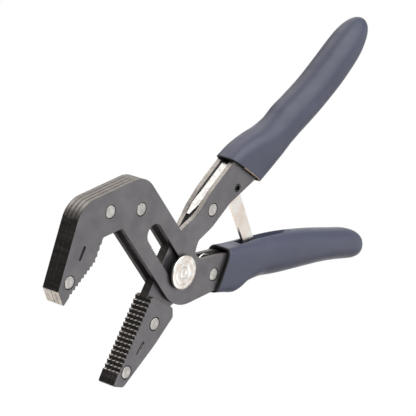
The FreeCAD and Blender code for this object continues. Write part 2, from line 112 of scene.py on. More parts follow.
def lightStudio():
    world = bpy.data.worlds.new("studio")
    scene.world = world
    world.use_nodes = True
    nodes, links = world.node_tree.nodes, world.node_tree.links
    nodes.clear()
    where = nodes.new("ShaderNodeTexCoord")
    total = None
    for azimuth, elevation, full, fade, strength, color in studio["softboxes"]:
        facing = nodes.new("ShaderNodeVectorMath")
        facing.operation = "DOT_PRODUCT"
        facing.inputs[1].default_value = direction(azimuth, elevation)
        links.new(where.outputs["Generated"], facing.inputs[0])
        edge = nodes.new("ShaderNodeMapRange")
        edge.interpolation_type = "SMOOTHSTEP"
        edge.inputs["From Min"].default_value = math.cos(math.radians(fade))
        edge.inputs["From Max"].default_value = math.cos(math.radians(full))
        links.new(facing.outputs["Value"], edge.inputs["Value"])
        glow = nodes.new("ShaderNodeVectorMath")
        glow.operation = "SCALE"
        glow.inputs[0].default_value = [c * strength for c in color]
        links.new(edge.outputs["Result"], glow.inputs["Scale"])
        if total is None:
            total = glow
        else:
            both = nodes.new("ShaderNodeVectorMath")
            both.operation = "ADD"
            links.new(total.outputs[0], both.inputs[0])
            links.new(glow.outputs[0], both.inputs[1])
            total = both
    lifted = nodes.new("ShaderNodeVectorMath")
    lifted.operation = "ADD"
    lifted.inputs[1].default_value = [studio["ambient"]] * 3
    links.new(total.outputs[0], lifted.inputs[0])
    sky = nodes.new("ShaderNodeBackground")
    links.new(lifted.outputs[0], sky.inputs["Color"])
    output = nodes.new("ShaderNodeOutputWorld")
    links.new(sky.outputs[0], output.inputs["Surface"])


def layFloor():
    half = studio["floorSize"] / 2
    mesh = bpy.data.meshes.new("floor")
    corners = [(-half, -half, 0), (half, -half, 0), (half, half, 0), (-half, half, 0)]
    mesh.from_pydata(corners, [], [(0, 1, 2, 3)])
    mesh.transform(Matrix.Translation((0, 0, cadBounds[0].z - studio["floorGap"])))
    floor = newObject("floor", mesh)
    material = bpy.data.materials.new("paleFloor")
    material.use_nodes = True
    nodes = material.node_tree.nodes
    nodes.clear()
    paper = nodes.new("ShaderNodeEmission")
    paper.inputs["Color"].default_value = (*studio["floorColor"], 1)
    output = nodes.new("ShaderNodeOutputMaterial")
    material.node_tree.links.new(paper.outputs[0], output.inputs["Surface"])
    mesh.materials.append(material)
    floor.visible_diffuse = False
    floor.visible_glossy = False
    floor.visible_transmission = False
    floor.visible_shadow = False


placeCamera()
lightStudio()
layFloor()
print("camera, floor and light are up")


def newFinish(name, metallic, roughness):
    material = bpy.data.materials.new(name)
    material.use_nodes = True
    shader = material.node_tree.nodes["Principled BSDF"]
    shader.inputs["Metallic"].default_value = metallic
    shader.inputs["Roughness"].default_value = roughness
    return material


def grain(material, scale, detail=3.0, stretch=(1, 1, 1)):
    # Noise over the piece, scale in waves per metre; returns its value socket.
    nodes, links = material.node_tree.nodes, material.node_tree.links
    where = nodes.new("ShaderNodeTexCoord")
    mapping = nodes.new("ShaderNodeMapping")
    mapping.inputs["Scale"].default_value = [scale * s for s in stretch]
    noise = nodes.new("ShaderNodeTexNoise")
    noise.inputs["Scale"].default_value = 1.0
    noise.inputs["Detail"].default_value = detail
    links.new(where.outputs["Object"], mapping.inputs["Vector"])
    links.new(mapping.outputs[0], noise.inputs["Vector"])
    return noise.outputs["Fac"]


def ranged(material, value, low, high, start=0.3, stop=0.7):
    # The value between start and stop spread over low to high.
    spread = material.node_tree.nodes.new("ShaderNodeMapRange")
    spread.inputs["From Min"].default_value = start
    spread.inputs["From Max"].default_value = stop
    spread.inputs["To Min"].default_value = low
    spread.inputs["To Max"].default_value = high
    material.node_tree.links.new(value, spread.inputs["Value"])
    return spread.outputs["Result"]


def mixed(material, factor, first, second):
    # A colour between first and second; each is a colour or a socket.
    mix = material.node_tree.nodes.new("ShaderNodeMix")
    mix.data_type = "RGBA"  # which puts its colours on inputs 6 and 7 and output 2
    material.node_tree.links.new(factor, mix.inputs["Factor"])
    for socket, color in ((mix.inputs[6], first), (mix.inputs[7], second)):
        if isinstance(color, tuple):
            socket.default_value = (*color, 1)
        else:
            material.node_tree.links.new(color, socket)
    return mix.outputs[2]


def combined(material, operation, first, second):
    # Two values through one math node.
    node = material.node_tree.nodes.new("ShaderNodeMath")
    node.operation = operation
    material.node_tree.links.new(first, node.inputs[0])
    material.node_tree.links.new(second, node.inputs[1])
    return node.outputs[0]


def paint(material, color=None, roughness=None):
    shader = material.node_tree.nodes["Principled BSDF"]
    if color is not None:
        material.node_tree.links.new(color, shader.inputs["Base Color"])
    if roughness is not None:
        material.node_tree.links.new(roughness, shader.inputs["Roughness"])


def roughen(material, height, depth, strength=1.0):
    # Relief from a value; depth in millimetres.
    bump = material.node_tree.nodes.new("ShaderNodeBump")
    bump.inputs["Distance"].default_value = depth * mm
    bump.inputs["Strength"].default_value = strength
    material.node_tree.links.new(height, bump.inputs["Height"])
    shader = material.node_tree.nodes["Principled BSDF"]
    material.node_tree.links.new(bump.outputs[0], shader.inputs["Normal"])


def attribute(material, name):
    read = material.node_tree.nodes.new("ShaderNodeAttribute")
    read.attribute_name = name
    return read.outputs["Fac"]


# Thickness of one plate, and the part of it where the rubbing and the painted highlight fade in
lamination = {"pitch": 2.4, "from": 0.12, "to": 0.5}


def alongStack(material):
    # Zero at the joints between plates, one in the middle of each plate.
    nodes, links = material.node_tree.nodes, material.node_tree.links
    where = nodes.new("ShaderNodeTexCoord")
    split = nodes.new("ShaderNodeSeparateXYZ")
    links.new(where.outputs["Object"], split.inputs[0])
    turn = nodes.new("ShaderNodeMath")
    turn.operation = "MULTIPLY_ADD"
    turn.inputs[1].default_value = 2 * math.pi / (lamination["pitch"] * mm)
    turn.inputs[2].default_value = math.pi - 2 * math.pi * pivot.z / (lamination["pitch"] * mm)
    links.new(split.outputs["Z"], turn.inputs[0])
    wave = nodes.new("ShaderNodeMath")
    wave.operation = "COSINE"
    links.new(turn.outputs[0], wave.inputs[0])
    share = nodes.new("ShaderNodeMath")
    share.operation = "MULTIPLY_ADD"
    share.inputs[1].default_value = 0.5
    share.inputs[2].default_value = 0.5
    links.new(wave.outputs[0], share.inputs[0])
    return ranged(material, share.outputs[0], 0.0, 1.0, lamination["from"], lamination["to"])


# tones are pairs of dark and light; the waves of each noise are per metre
oxide = {"metallic": 0.85, "roughness": (0.34, 0.46),
         "face": ((0.115, 0.11, 0.118), (0.15, 0.144, 0.152)),
         # cut: darker tones for every side face, painted shade; rubbed: bare metal for wear and for
         # painted highlights
         "cut": ((0.05, 0.045, 0.043), (0.095, 0.086, 0.082)), "rubbed": (0.7, 0.66, 0.61),
         "clouds": 120, "streaks": 700, "streakStretch": (1, 1, 0.08), "patches": 900, "patchLow": 0.6,
         "sheen": 260, "pebble": 5200, "relief": 0.02, "reliefStrength": 0.35}


def blackOxide():
    # Oil-blackened plate: every side face painted darker as shade, and rubbed bright or painted with
    # highlights where the wear attributes say.
    plate = newFinish("blackOxide", oxide["metallic"], 0.4)
    cloud = grain(plate, oxide["clouds"], 4)
    face = mixed(plate, ranged(plate, cloud, 0, 1), *oxide["face"])
    streak = grain(plate, oxide["streaks"], 2, oxide["streakStretch"])
    # side faces take the darker cut tones: painted shade
    cut = mixed(plate, ranged(plate, streak, 0, 1), *oxide["cut"])
    black = mixed(plate, attribute(plate, "cutEdgeShade"), face, cut)
    patchy = ranged(plate, grain(plate, oxide["patches"], 2), oxide["patchLow"], 1.0)
    # teeth crests rubbed; upward crown edges rubbed and painted as a highlight
    rubbed = combined(plate, "MULTIPLY", attribute(plate, "stackWearAndHighlight"), alongStack(plate))
    # wear plus painted highlights, blended towards bare metal
    wearAndLight = combined(plate, "MULTIPLY", combined(plate, "ADD", attribute(plate, "wearAndHighlight"), rubbed), patchy)
    paint(plate, mixed(plate, wearAndLight, black, oxide["rubbed"]),
          ranged(plate, grain(plate, oxide["sheen"], 5), *oxide["roughness"]))
    roughen(plate, grain(plate, oxide["pebble"], 3), oxide["relief"], oxide["reliefStrength"])
    return plate


oiled = {"metallic": 0.8, "roughness": (0.3, 0.45), "tones": ((0.025, 0.025, 0.027), (0.06, 0.058, 0.06)),
         "clouds": 350, "sheen": 900, "pebble": 4200, "relief": 0.015, "reliefStrength": 0.3}


def darkSteel():
    dark = newFinish("darkSteel", oiled["metallic"], 0.35)
    cloud = grain(dark, oiled["clouds"], 3)
    paint(dark, mixed(dark, ranged(dark, cloud, 0, 1), *oiled["tones"]),
          ranged(dark, grain(dark, oiled["sheen"], 2), *oiled["roughness"]))
    roughen(dark, grain(dark, oiled["pebble"], 2), oiled["relief"], oiled["reliefStrength"])
    return dark


def brightSteel(name, light, shade, blotch, roughness, relief):
    # Bare or plated steel: two tones in soft blotches.
    steel = newFinish(name, 1.0, roughness)
    paint(steel, mixed(steel, ranged(steel, grain(steel, blotch, 4), 0, 1, 0.38, 0.66), light, shade),
          ranged(steel, grain(steel, blotch * 2.3, 3), roughness - 0.07, roughness + 0.08))
    roughen(steel, grain(steel, 3600, 3), relief, 0.4)
    return steel


skinWork = {"specular": 0.45, "sheenWeight": 0.12, "sheenRoughness": 0.4, "clouds": 45, "sheen": 160,
            "spread": (-0.05, 0.07), "pebble": 2600, "relief": 0.05, "reliefStrength": 0.35}


def vinyl(name, light, dark, roughness):
    # Soft moulded grip: fine pebble and a slow change of tone.
    skin = newFinish(name, 0.0, roughness)
    shader = skin.node_tree.nodes["Principled BSDF"]
    shader.inputs["Specular IOR Level"].default_value = skinWork["specular"]
    shader.inputs["Sheen Weight"].default_value = skinWork["sheenWeight"]
    shader.inputs["Sheen Roughness"].default_value = skinWork["sheenRoughness"]
    slow = grain(skin, skinWork["clouds"], 3)
    low, high = skinWork["spread"]
    paint(skin, mixed(skin, ranged(skin, slow, 0, 1), dark, light),
          ranged(skin, grain(skin, skinWork["sheen"], 3), roughness + low, roughness + high))
    roughen(skin, grain(skin, skinWork["pebble"], 2), skinWork["relief"], skinWork["reliefStrength"])
    return skin


# material name, light tone, dark tone, blotches per metre, roughness, relief in millimetres
steels = {"rivet": ("rivetSteel", (0.47, 0.456, 0.44), (0.335, 0.326, 0.316), 420, 0.36, 0.02),
          "pivotHead": ("pivotHeadSteel", (0.74, 0.735, 0.72), (0.6, 0.53, 0.47), 330, 0.3, 0.03),
          "nickel": ("nickelPlate", (0.67, 0.655, 0.63), (0.62, 0.53, 0.46), 130, 0.26, 0.01),
          "leaf": ("leafSteel", (0.45, 0.445, 0.43), (0.32, 0.315, 0.31), 260, 0.32, 0.01),
          "spring": ("springSteel", (0.78, 0.77, 0.75), (0.5, 0.49, 0.48), 500, 0.3, 0.01)}
# material name, light tone, dark tone, roughness
vinyls = {"grip": ("gripVinyl", (0.042, 0.047, 0.079), (0.033, 0.038, 0.066), 0.46),
          # near-black inside of the mouths: painted shade in the recess
          "mouthShade": ("gripMouthShade", (0.012, 0.012, 0.014), (0.007, 0.007, 0.008), 0.65),
          "bead": ("gripBead", (0.5, 0.38, 0.25), (0.36, 0.27, 0.18), 0.5)}
finishes = {"plate": blackOxide(), "dark": darkSteel()}
finishes.update({key: brightSteel(*steel) for key, steel in steels.items()})
finishes.update({key: vinyl(*skin) for key, skin in vinyls.items()})
print("materials are mixed")


plateWork = {"edge": 0.28, "steps": 2, "sharp": 30.0, "rubReach": 0.8, "rubWear": 0.55,
             "crestReach": 0.7, "crestWear": 1.0, "flat": 0.9, "level": 0.999,
             "weld": 1e-6, "coplanar": 0.5,
             # top edges, rubbed and painted as highlights: how squarely they face up, and how bright the
             # crown and handle get
             "upward": 0.35, "crownWearAndHighlight": 0.19, "handleWearAndHighlight": 0.3, "handleFrom": 16.0,
             # stamped floors are painted dark as shade in the recesses
             "recessFloor": (3.9, 4.7),  # heights between which a level face is a stamped floor
             "tipCorners": ((-81.2, 1.3), (-77.1, -5.7)), "tipReach": 0.6, "tipWear": 1.0,
             "rubbed": [((-43.4, 25.7), (-1.7, -18.05)), ((-21.4, 25.5), (3.1, -0.8)),
                        ((-81.2, 1.3), (-77.1, -5.7))],
             "crests": [((-74.0, -2.2), (-59.3, 12.0)), ((-59.3, 12.0), (-56.2, 20.2)),
                        ((-19.4, -10.7), (-36.4, -43.3))]}


def fromLine(point, start, end):
    # Distance in the plane from a point to the run from start to end.
    a, b = Vector(start), Vector(end)
    along = max(0.0, min(1.0, (point - a).dot(b - a) / (b - a).length_squared))
    return (point - a.lerp(b, along)).length


def wearAndHighlightOf(face, isEdge, onLever):
    # How bright a face is, from 0 to 1: rubbed wear, and on the handle's upward edges also a painted
    # highlight.
    centre = (face.center - pivot) / mm
    place = centre.xy
    tip = Vector(plateWork["tipCorners"][1]) - Vector(plateWork["tipCorners"][0])
    outward = Vector((tip.y, -tip.x)).normalized()
    onTip = fromLine(place, *plateWork["tipCorners"]) < plateWork["tipReach"]
    if onTip and face.normal.xy.dot(outward) > plateWork["flat"]:
        return plateWork["tipWear"]
    if isEdge:
        nearest = min(fromLine(place, *line) for line in plateWork["rubbed"])
        return plateWork["rubWear"] if nearest < plateWork["rubReach"] and not onLever else 0.0
    # upward-facing handle edges: wear plus a painted highlight
    if abs(face.normal.z) > plateWork["flat"] or face.normal.y < plateWork["upward"]:
        return 0.0
    return plateWork["handleWearAndHighlight"] if onLever and centre.y > plateWork["handleFrom"] else 0.0


def stackWearAndHighlightOf(face, isEdge, onLever):
    # How bright the middle of each plate's cut edge is, from 0 to 1: rubbed on the teeth crests, rubbed
    # and painted as a highlight on the crown's upward edges.
    place = (face.center - pivot).xy / mm
    if isEdge or abs(face.normal.z) > plateWork["flat"] or face.normal.y < plateWork["upward"]:
        return 0.0
    if min(fromLine(place, *crest) for crest in plateWork["crests"]) < plateWork["crestReach"]:
        return plateWork["crestWear"]
    return plateWork["crownWearAndHighlight"] if place.y > plateWork["handleFrom"] and not onLever else 0.0


def shadeSharp(mesh, angle=35.0):
    mesh.shade_smooth()
    mesh.set_sharp_from_angle(angle=math.radians(angle))


def plainMesh(piece):
    # The piece's evaluated mesh in its own right, its modifiers gone.
    bpy.context.view_layer.update()
    evaluated = piece.evaluated_get(bpy.context.evaluated_depsgraph_get())
    mesh = bpy.data.meshes.new_from_object(evaluated)
    piece.modifiers.clear()
    piece.data = mesh
    mesh.name = piece.name
    return mesh


def markWearLightAndShade(mesh, onLever):
    # Wear, painted highlights and the painted shade of side faces, face by face; slot 1 holds the
    # bevelled edges here.
    faces = mesh.polygons
    columns = {"wearAndHighlight": [wearAndHighlightOf(f, f.material_index == 1, onLever) for f in faces],
               "stackWearAndHighlight": [stackWearAndHighlightOf(f, f.material_index == 1, onLever) for f in faces],
               # every face that is not level gets the painted shade of the side faces
               "cutEdgeShade": [float(abs(f.normal.z) < plateWork["flat"]) for f in faces]}
    for name, values in columns.items():
        mesh.attributes.new(name, "FLOAT", "FACE").data.foreach_set("value", values)


def brokenEdges(node, finish, edge=plateWork["edge"], wearAndLight=True):
    # A copy of a CAD piece with its sharp edges broken, to stand for the node.
    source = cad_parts[node].data
    mesh = bpy.data.meshes.new(node)
    mesh.from_pydata([v.co for v in source.vertices], [], [tuple(p.vertices) for p in source.polygons])
    build = bmesh.new()
    build.from_mesh(mesh)
    bmesh.ops.remove_doubles(build, verts=build.verts, dist=plateWork["weld"])
    bmesh.ops.dissolve_limit(build, angle_limit=math.radians(plateWork["coplanar"]),
                             verts=build.verts, edges=build.edges)
    build.to_mesh(mesh)
    build.free()
    piece = newObject(f"{node}_finished", mesh)
    mesh.materials.append(finishes[finish])
    mesh.materials.append(finishes[finish])
    bevel = piece.modifiers.new("edges", "BEVEL")
    bevel.width = edge * mm
    bevel.segments = plateWork["steps"]
    bevel.limit_method = "ANGLE"
    bevel.angle_limit = math.radians(plateWork["sharp"])
    bevel.use_clamp_overlap = True
    bevel.harden_normals = True
    bevel.material = 1
    mesh.shade_smooth()
    mesh = plainMesh(piece)
    if wearAndLight:
        markWearLightAndShade(mesh, node.startswith("lever"))
    # level faces at stamped-recess depth go to slot 1, the dark steel finish, as painted shade in the
    # recesses
    low, high = plateWork["recessFloor"]
    for face in mesh.polygons:
        height = abs(face.center.z - pivot.z) / mm
        isFloor = wearAndLight and abs(face.normal.z) > plateWork["level"] and low < height < high
        face.material_index = int(isFloor)
    mesh.materials[1] = finishes["dark"]
    return piece


def stand(piece, body, slot, *nodes):
    # Put a finished piece on its body in place of CAD nodes.
    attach(piece, body)
    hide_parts(*nodes)
    return piece


for side in ("front", "rear"):
    for node, body in (("{}_plate", "hooked_lever"), ("hook_filler_{}", "hooked_lever"),
                       ("lever_plate_{}", "handled_jaw"), ("jaw_cheek_{}", "handled_jaw")):
        name = node.format(side)
        stand(brokenEdges(name, "plate"), body, "black_plate", name)
    for node in ("lock_key_{}", "pivot_washer_{}"):
        name = node.format(side)
        stand(brokenEdges(name, "dark", 0.12, wearAndLight=False), "pivot", "dark_steel", name)
stand(brokenEdges("control_link", "nickel", 0.15, wearAndLight=False), "link", "nickel", "control_link")
stand(brokenEdges("shift_spring", "leaf", 0.12, wearAndLight=False), "handled_jaw", "nickel", "shift_spring")
print("plates, keys, washers, link and leaf are finished")


def newTree(name, sockets):
    # A modifier tree with named inputs; sockets are (name, kind).
    tree = bpy.data.node_groups.new(name, "GeometryNodeTree")
    tree.is_modifier = True
    tree.interface.new_socket("Geometry", in_out="INPUT", socket_type="NodeSocketGeometry")
    for label, kind in sockets:
        tree.interface.new_socket(label, in_out="INPUT", socket_type=f"NodeSocket{kind}")
    tree.interface.new_socket("Geometry", in_out="OUTPUT", socket_type="NodeSocketGeometry")
    return tree


class treeWiring:
    # Adds nodes to a tree and links them in one call each; _0 names an input by its place.

    def __init__(self, tree):
        self.tree = tree
        self.inputs = tree.nodes.new("NodeGroupInput").outputs

    def add(self, kind, settings=None, **sockets):
        node = self.tree.nodes.new(kind)
        for key, value in (settings or {}).items():
            setattr(node, key, value)
        for key, value in sockets.items():
            place = int(key[1:]) if key[1:].isdigit() else key.replace("_", " ")
            socket = node.inputs[place]
            if isinstance(value, bpy.types.NodeSocket):
                self.tree.links.new(value, socket)
            else:
                socket.default_value = value
        return node.outputs

    def math(self, operation, first, second=0.0):
        return self.add("ShaderNodeMath", {"operation": operation}, _0=first, _1=second)[0]

    def join(self, *geometries):
        node = self.tree.nodes.new("GeometryNodeJoinGeometry")
        for geometry in geometries:
            self.tree.links.new(geometry, node.inputs[0])
        return node.outputs[0]

    def finish(self, geometry):
        # Realize Instances and Set Material close every tree.
        solid = self.add("GeometryNodeRealizeInstances", Geometry=geometry)[0]
        covered = self.add("GeometryNodeSetMaterial", Geometry=solid,
                           Material=self.inputs["Material"])[0]
        output = self.tree.nodes.new("NodeGroupOutput")
        self.tree.links.new(covered, output.inputs[0])


def grow(name, tree, points, edges, values, angle=35.0):
    # Run a tree on a few points and keep the result as a plain mesh.
    mesh = bpy.data.meshes.new(name)
    mesh.from_pydata(points, edges, [])
    piece = newObject(name, mesh)
    modifier = piece.modifiers.new("nodes", "NODES")
    modifier.node_group = tree
    for socket in tree.interface.items_tree:
        if socket.in_out == "INPUT" and socket.name in values:
            modifier[socket.identifier] = values[socket.name]
    shadeSharp(plainMesh(piece), angle)
    return piece


# heights are from the middle of the stack; shares are parts of the head's radius
rivetSize = {"head": 2.92, "shank": 2.2, "seat": 4.1, "rim": 4.93, "crown": 0.07, "dimple": 0.1,
             "dimpleShare": 0.36, "chamfer": 0.16, "chamferShare": 0.84}


def rivetTree():
    # A headed rivet through the stack at every point, both heads crowned, dimpled and chamfered.
    tree = newTree("rivets", [(n, "Float") for n in ("Head", "Shank", "Seat", "Rim", "Crown", "Dimple",
                                                     "Dimple Share", "Chamfer", "Chamfer Share")]
                   + [("Material", "Material")])
    w = treeWiring(tree)
    given = w.inputs
    thickness = w.math("SUBTRACT", given["Rim"], given["Seat"])
    disc = w.add("GeometryNodeMeshCylinder", {"fill_type": "TRIANGLE_FAN"}, Vertices=40, Side_Segments=1,
                 Fill_Segments=10, Radius=given["Head"], Depth=thickness)
    place = w.add("ShaderNodeSeparateXYZ", Vector=w.add("GeometryNodeInputPosition")[0])
    across = w.add("ShaderNodeVectorMath", {"operation": "LENGTH"},
                   _0=w.add("ShaderNodeCombineXYZ", X=place["X"], Y=place["Y"])[0])["Value"]
    share = w.math("DIVIDE", across, given["Head"])
    dome = w.math("MULTIPLY", given["Crown"], w.math("SUBTRACT", 1.0, w.math("POWER", share, 2.0)))
    dip = w.add("ShaderNodeMapRange", {"interpolation_type": "SMOOTHSTEP"}, Value=share, From_Min=0.0,
                From_Max=given["Dimple Share"], To_Min=1.0, To_Max=0.0)[0]
    edge = w.add("ShaderNodeMapRange", {"interpolation_type": "SMOOTHSTEP"}, Value=share,
                 From_Min=given["Chamfer Share"], From_Max=1.0)[0]
    relief = w.math("SUBTRACT", w.math("SUBTRACT", dome, w.math("MULTIPLY", dip, given["Dimple"])),
                    w.math("MULTIPLY", edge, given["Chamfer"]))
    shaped = w.add("GeometryNodeSetPosition", Geometry=disc["Mesh"], Selection=disc["Top"],
                   Offset=w.add("ShaderNodeCombineXYZ", Z=relief)[0])[0]
    middle = w.math("MULTIPLY", w.math("ADD", given["Rim"], given["Seat"]), 0.5)
    head = w.add("GeometryNodeTransform", Geometry=shaped,
                 Translation=w.add("ShaderNodeCombineXYZ", Z=middle)[0])[0]
    tail = w.add("GeometryNodeTransform", Geometry=head, Rotation=(math.pi, 0, 0))[0]
    shank = w.add("GeometryNodeMeshCylinder", Vertices=24, Radius=given["Shank"],
                  Depth=w.math("MULTIPLY", given["Seat"], 2.0))["Mesh"]
    rivet = w.join(head, tail, shank)
    w.finish(w.add("GeometryNodeInstanceOnPoints", Points=given["Geometry"], Instance=rivet)[0])
    return tree


def solidCentres(node):
    # The middle of every separate solid in a CAD node.
    build = bmesh.new()
    build.from_mesh(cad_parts[node].data)
    bmesh.ops.remove_doubles(build, verts=build.verts, dist=plateWork["weld"])
    waiting, centres = set(build.verts), []
    while waiting:
        found, edge = set(), [next(iter(waiting))]
        while edge:
            vert = edge.pop()
            if vert not in found:
                found.add(vert)
                edge.extend(e.other_vert(vert) for e in vert.link_edges)
        waiting -= found
        low = Vector(min(v.co[i] for v in found) for i in range(3))
        high = Vector(max(v.co[i] for v in found) for i in range(3))
        centres.append((low + high) / 2)
    build.free()
    return sorted(centres, key=lambda c: (round(c.x, 5), round(c.y, 5)))


rivetNodes = rivetTree()
rivetValues = {key.capitalize(): rivetSize[key] * mm
               for key in ("head", "shank", "seat", "rim", "crown", "dimple", "chamfer")}
rivetValues.update({"Dimple Share": rivetSize["dimpleShare"], "Chamfer Share": rivetSize["chamferShare"],
                    "Material": finishes["rivet"]})
for node, body in (("hook_rivets", "hooked_lever"), ("lower_handle_rivets", "hooked_lever"),
                   ("jaw_rivets", "handled_jaw"), ("upper_handle_rivets", "handled_jaw")):
    made = grow(f"{node}_finished", rivetNodes, solidCentres(node), [], rivetValues)
    stand(made, body, "bright_steel", node)
print("rivets are set")


pinSize = {"sides": 96,
           # radius and height of the turned profile, front face to rear face
           "profile": [(0, 7.08), (0.9, 7.08), (1.15, 7.14), (2.5, 7.16), (2.75, 7.06), (3.0, 7.15),
                       (5.6, 7.13), (5.8, 7.07), (6.0, 7.12), (7.5, 7.02), (8.0, 6.9), (8.28, 6.7),
                       (8.35, 6.45), (8.3, 6.15), (8.2, 6.1), (3.0, 6.1), (3.0, -6.1), (6.35, -6.1),
                       (6.5, -6.25), (6.5, -6.75), (6.3, -7.0), (5.7, -7.15), (1.3, -7.18),
                       (0.9, -7.0), (0, -6.95)]}


def turned(name, centre, profile, sides, finish):
    # A solid of revolution about the pin's axis.
    build = bmesh.new()
    rings = []
    for radius, height in profile:
        if radius == 0:
            rings.append([build.verts.new(centre + Vector((0, 0, height)) * mm)])
            continue
        ring = []
        for i in range(sides):
            a = 2 * math.pi * i / sides
            offset = Vector((radius * math.cos(a), radius * math.sin(a), height))
            ring.append(build.verts.new(centre + offset * mm))
        rings.append(ring)
    for upper, lower in zip(rings, rings[1:]):
        for i in range(sides):
            j = (i + 1) % sides
            corners = [upper[i % len(upper)], lower[i % len(lower)], lower[j % len(lower)],
                       upper[j % len(upper)]]
            unique = list(dict.fromkeys(corners))
            build.faces.new(unique)
    bmesh.ops.recalc_face_normals(build, faces=build.faces)
    mesh = bpy.data.meshes.new(name)
    build.to_mesh(mesh)
    build.free()
    mesh.materials.append(finishes[finish])
    shadeSharp(mesh, 40)
    return newObject(name, mesh)


pin = turned("pivot_pin_finished", pivot, pinSize["profile"], pinSize["sides"], "pivotHead")
stand(pin, "pivot", "bright_steel", "pivot_pin")

rollPin = {"outer": 2.0, "inner": 1.2, "half": 4.9, "chamfer": 0.25, "gap": 32.0, "slitAt": 200.0,
           "sides": 40}


def slitPin(name, centre, size, finish):
    # A rolled spring pin: a C of sheet with chamfered ends.
    lips = [(size["inner"], size["half"]), (size["outer"] - size["chamfer"], size["half"]),
            (size["outer"], size["half"] - size["chamfer"] * 2),
            (size["outer"], -size["half"] + size["chamfer"] * 2),
            (size["outer"] - size["chamfer"], -size["half"]), (size["inner"], -size["half"])]
    build = bmesh.new()
    rings = []
    sweep = 360.0 - size["gap"]
    for i in range(size["sides"] + 1):
        a = math.radians(size["slitAt"] + size["gap"] / 2 + sweep * i / size["sides"])
        rings.append([build.verts.new(centre + Vector((r * math.cos(a), r * math.sin(a), z)) * mm)
                      for r, z in lips])
    for ring, following in zip(rings, rings[1:]):
        for i in range(len(lips)):
            j = (i + 1) % len(lips)
            build.faces.new((ring[i], ring[j], following[j], following[i]))
    build.faces.new(rings[0])
    build.faces.new(rings[-1])
    bmesh.ops.recalc_face_normals(build, faces=build.faces)
    mesh = bpy.data.meshes.new(name)
    build.to_mesh(mesh)
    build.free()
    mesh.materials.append(finishes[finish])
    shadeSharp(mesh)
    return newObject(name, mesh)


linkPin = slitPin("link_pin_finished", solidCentres("link_pin")[0], rollPin, "dark")
stand(linkPin, "handled_jaw", "dark_steel", "link_pin")
print("pins are turned")


coil = {"start": (26.5, 0.75), "end": (49.0, -0.9), "radius": 1.6, "wire": 0.34, "turns": 19.0,
        "hook": [(26.5, 2.3, 0.4), (25.0, 2.8, 0.3), (23.2, 4.0, 0.1), (21.0, 4.6, 0.0),
                 (18.8, 4.0, 0.0), (16.8, 2.0, 0.0), (17.4, 0.0, 0.0)],
        "tail": [(49.0, 0.6, 0.0), (51.0, -0.6, 0.0), (56.0, -1.2, 0.0)]}


def coilTree():
    # A wound spring between two points, with the input line as its hooked ends.
    tree = newTree("coiledSpring", [("Coil Radius", "Float"), ("Wire Radius", "Float"),
                                    ("Turns", "Float"), ("Length", "Float"), ("Start", "Vector"),
                                    ("Turn", "Rotation"), ("Material", "Material")])
    w = treeWiring(tree)
    given = w.inputs
    helix = w.add("GeometryNodeCurveSpiral", Resolution=24, Rotations=given["Turns"],
                  Start_Radius=given["Coil Radius"], End_Radius=given["Coil Radius"],
                  Height=given["Length"])[0]
    placed = w.add("GeometryNodeTransform", Geometry=helix, Translation=given["Start"],
                   Rotation=given["Turn"])[0]
    ends = w.add("GeometryNodeMeshToCurve", Mesh=given["Geometry"])[0]
    soft = w.add("GeometryNodeCurveSplineType", {"spline_type": "CATMULL_ROM"}, Curve=ends)[0]
    fine = w.add("GeometryNodeResampleCurve", Curve=soft, Count=40)[0]
    section = w.add("GeometryNodeCurvePrimitiveCircle", {"mode": "RADIUS"}, Resolution=10,
                    Radius=given["Wire Radius"])[0]
    wire = w.add("GeometryNodeCurveToMesh", Curve=w.join(placed, fine), Profile_Curve=section,
                 Fill_Caps=True)[0]
    w.finish(wire)
    return tree


def windSpring():
    start, end = fromPivot(*coil["start"]), fromPivot(*coil["end"])
    lines, edges = [], []
    for line in (coil["hook"], coil["tail"]):
        first = len(lines)
        lines.extend(fromPivot(*point) for point in line)
        edges.extend((first + i, first + i + 1) for i in range(len(line) - 1))
    values = {"Coil Radius": coil["radius"] * mm, "Wire Radius": coil["wire"] * mm,
              "Turns": coil["turns"], "Length": (end - start).length, "Start": start,
              "Turn": (end - start).to_track_quat("Z", "Y").to_euler(), "Material": finishes["spring"]}
    return grow("return_spring_finished", coilTree(), lines, edges, values, 60)


stand(windSpring(), "hooked_lever", "bright_steel", "return_spring")
print("return spring is wound")


lowerGrip = {"name": "lower_grip", "body": "hooked_lever", "angle": 0.0,
             # along the handle, middle, half height and half depth of each section
             "sections": [(14.0, -4.2, 9.9, 6.7), (24.0, -3.7, 10.2, 6.9), (32.0, -3.9, 10.8, 7.1),
                          (39.5, -4.3, 11.3, 7.5), (43.8, -3.6, 10.9, 7.7), (48.9, -2.1, 9.8, 7.9),
                          (57.4, -1.1, 9.9, 8.1), (73.0, -0.9, 10.2, 8.4), (90.0, -0.9, 9.6, 8.45),
                          (105.0, -1.2, 8.7, 8.4), (118.0, -2.0, 8.1, 8.1), (128.0, -2.9, 7.9, 7.6),
                          (138.0, -4.4, 7.4, 7.2), (145.0, -5.4, 7.2, 7.0)],
             "mouthAt": 29.5, "mouthLean": 0.341, "leanFade": 26.0, "endFrom": 127.0, "endAt": 141.6,
             "bluntness": 3.2, "wall": 1.2, "recess": 9.0, "squareMouth": 5.0, "beadBelow": None}
